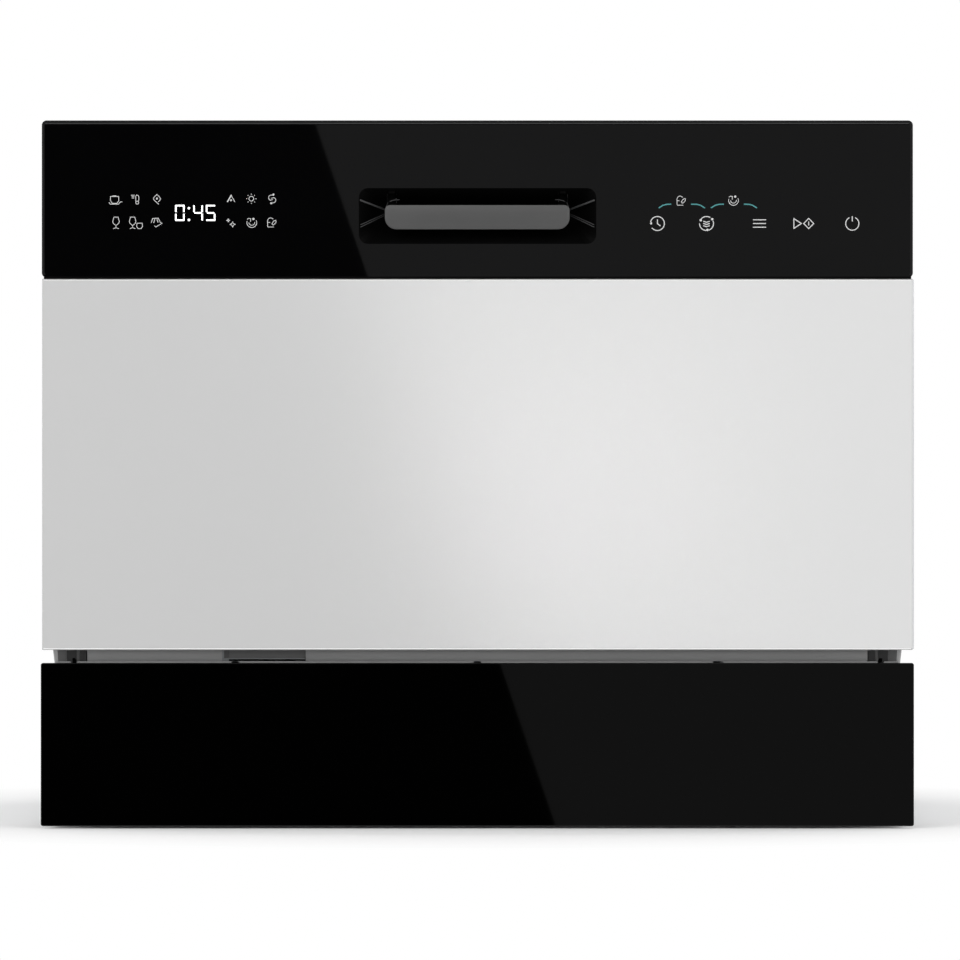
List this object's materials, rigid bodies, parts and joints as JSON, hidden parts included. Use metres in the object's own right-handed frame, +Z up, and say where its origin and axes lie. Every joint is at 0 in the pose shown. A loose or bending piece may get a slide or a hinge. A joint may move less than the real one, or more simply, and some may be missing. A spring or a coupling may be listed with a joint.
{
  "type": "compact dishwasher",
  "caption": "Compact tabletop dishwasher: drop-down door with black glass control panel, pull handle, stainless tub, spray arm and sliding wire rack.",
  "frame": {"origin": "on the floor plane under the centre of the whole footprint", "axes": "+Z up, the door faces -Y, +X to the right of someone facing the door"},
  "size_m": [0.55, 0.5, 0.446],
  "materials": {
    "base_plastic": "moulded, fine grain",
    "side_paint": "silver grey paint",
    "black_glass": "glossy black, painted behind",
    "silver_panel": "satin silver, very fine brushing",
    "dark_frame": "dark grey moulding",
    "black_plastic": "black moulding",
    "lever_grey": "dark grey, satin",
    "steel": "stainless sheet",
    "zinc": "zinc plated",
    "rubber": "soft black rubber",
    "grey_plastic": "grey polypropylene",
    "white_plastic": "white polypropylene",
    "wire_coat": "grey nylon coat on wire",
    "blue_cap": "grey cap",
    "board": "green board",
    "felt": "bitumen pad"
  },
  "bodies": {
    "cabinet": {"base_tray": "base_plastic", "rear_feet": "rubber", "kick_glass": "black_glass", "kick_carrier": "black_plastic", "side_panels": "side_paint", "top_cover": "side_paint", "rear_panel": "side_paint", "tub_wrap": "steel", "tub_back": "steel", "tub_floor": "steel", "tub_collar": "steel", "door_seal": "rubber", "strike": "zinc", "sump": "grey_plastic", "filter_plate": "steel", "spray_arm_nut": "grey_plastic", "softener": "white_plastic", "circulation_pump": "white_plastic", "drain_pump": "white_plastic", "inner_hoses": "rubber", "inlet_valve": "white_plastic", "drain_spigot": "grey_plastic", "cord_gland": "black_plastic", "air_break": "white_plastic", "float_switch": "white_plastic", "hinge_brackets": "zinc", "balance_springs": "zinc", "cabinet_screws": "zinc"},
    "foot_left": {"foot_front_left": "black_plastic"},
    "foot_right": {"foot_front_right": "black_plastic"},
    "spray_arm": {"spray_arm": "grey_plastic"},
    "filter_cup": {"filter_cup": "grey_plastic"},
    "salt_cap": {"salt_cap": "blue_cap"},
    "overflow_float": {"overflow_float": "grey_plastic"},
    "spring_links": {"spring_links": "zinc"},
    "door": {"door_panel": "silver_panel", "fascia_frame": "dark_frame", "fascia_glass": "black_glass", "handle_pocket": "black_plastic", "door_liner": "steel", "door_insulation": "felt", "control_boards": "board", "door_lock_case": "white_plastic", "dispenser_body": "grey_plastic", "hinge_arms": "zinc", "door_screws": "zinc"},
    "handle_lever": {"handle_lever": "lever_grey"},
    "latch_hook": {"latch_hook": "zinc"},
    "dispenser_lid": {"dispenser_lid": "grey_plastic"},
    "rinse_cap": {"rinse_cap": "blue_cap"},
    "rack": {"rack_floor": "wire_coat", "rack_sides": "wire_coat", "rack_ends": "wire_coat", "rack_clips": "grey_plastic"},
    "tine_row_front": {"tine_row_front": "wire_coat"},
    "tine_row_rear": {"tine_row_rear": "wire_coat"},
    "cup_shelf": {"cup_shelf": "grey_plastic"},
    "cutlery_basket": {"cutlery_basket": "grey_plastic"},
    "wheels_front": {"rack_wheels_front": "grey_plastic"},
    "wheels_rear": {"rack_wheels_rear": "grey_plastic"}
  },
  "joints": [
    {"name": "door_hinge", "type": "hinge", "parent": "cabinet", "child": "door", "pos_m": [0, -0.235, 0.1245], "axis": [1, 0, 0], "range_deg": [0, 90]},
    {"name": "handle_pull", "type": "hinge", "parent": "door", "child": "handle_lever", "pos_m": [0, -0.237, 0.4025], "axis": [-1, 0, 0], "range_deg": [0, 20], "stiffness_Nm_per_rad": 0.2, "springref_deg": -11.46},
    {"name": "latch_turn", "type": "hinge", "parent": "door", "child": "latch_hook", "pos_m": [0, -0.217, 0.428], "axis": [1, 0, 0], "range_deg": [0, 5.5]},
    {"name": "lid_slide", "type": "slide", "parent": "door", "child": "dispenser_lid", "axis": [1, 0, 0], "range_m": [0, 0.062]},
    {"name": "rinse_turn", "type": "hinge", "parent": "door", "child": "rinse_cap", "pos_m": [-0.072, -0.219, 0.3], "axis": [0, 1, 0], "range_deg": [0, 90]},
    {"name": "rack_slide", "type": "slide", "parent": "cabinet", "child": "rack", "axis": [0, -1, 0], "range_m": [0, 0.142]},
    {"name": "wheels_front_roll", "type": "hinge", "parent": "rack", "child": "wheels_front", "pos_m": [0, -0.11, 0.1675], "axis": [1, 0, 0], "continuous": true},
    {"name": "wheels_rear_roll", "type": "hinge", "parent": "rack", "child": "wheels_rear", "pos_m": [0, 0.12, 0.1675], "axis": [1, 0, 0], "continuous": true},
    {"name": "tines_front_fold", "type": "hinge", "parent": "rack", "child": "tine_row_front", "pos_m": [0, -0.01, 0.18876], "axis": [-1, 0, 0], "range_deg": [0, 86]},
    {"name": "tines_rear_fold", "type": "hinge", "parent": "rack", "child": "tine_row_rear", "pos_m": [0, 0.085, 0.18876], "axis": [-1, 0, 0], "range_deg": [0, 86]},
    {"name": "shelf_fold", "type": "hinge", "parent": "rack", "child": "cup_shelf", "pos_m": [-0.214, 0.048, 0.29], "axis": [0, -1, 0], "range_deg": [0, 80]},
    {"name": "basket_lift", "type": "slide", "parent": "rack", "child": "cutlery_basket", "axis": [0, 0, 1], "range_m": [0, 0.08]},
    {"name": "spray_spin", "type": "hinge", "parent": "cabinet", "child": "spray_arm", "pos_m": [0, 0.005, 0.165], "axis": [0, 0, 1], "continuous": true},
    {"name": "filter_turn", "type": "hinge", "parent": "cabinet", "child": "filter_cup", "pos_m": [-0.07, -0.07, 0.142], "axis": [0, 0, 1], "range_deg": [0, 60]},
    {"name": "salt_turn", "type": "hinge", "parent": "cabinet", "child": "salt_cap", "pos_m": [0.15, 0.11, 0.155], "axis": [0, 0, 1], "range_deg": [0, 360]},
    {"name": "float_rise", "type": "slide", "parent": "cabinet", "child": "overflow_float", "axis": [0, 0, 1], "range_m": [0, 0.008]},
    {"name": "foot_left_turn", "type": "hinge", "parent": "cabinet", "child": "foot_left", "pos_m": [-0.225, -0.165, 0], "axis": [0, 0, 1], "continuous": true},
    {"name": "foot_right_turn", "type": "hinge", "parent": "cabinet", "child": "foot_right", "pos_m": [0.225, -0.165, 0], "axis": [0, 0, 1], "continuous": true},
    {"name": "link_slide", "type": "slide", "parent": "cabinet", "child": "spring_links", "axis": [0, -1, 0], "range_m": [0, 0.0465]}
  ],
  "couplings": [
    {"joint": "rack_slide", "follows": "door_hinge", "m_per_rad": 0.09},
    {"joint": "wheels_front_roll", "follows": "door_hinge", "ratio": 8.1818},
    {"joint": "wheels_rear_roll", "follows": "door_hinge", "ratio": 8.1818},
    {"joint": "link_slide", "follows": "door_hinge", "m_per_rad": 0.02928},
    {"joint": "latch_turn", "follows": "handle_pull", "ratio": 0.27}
  ]
}
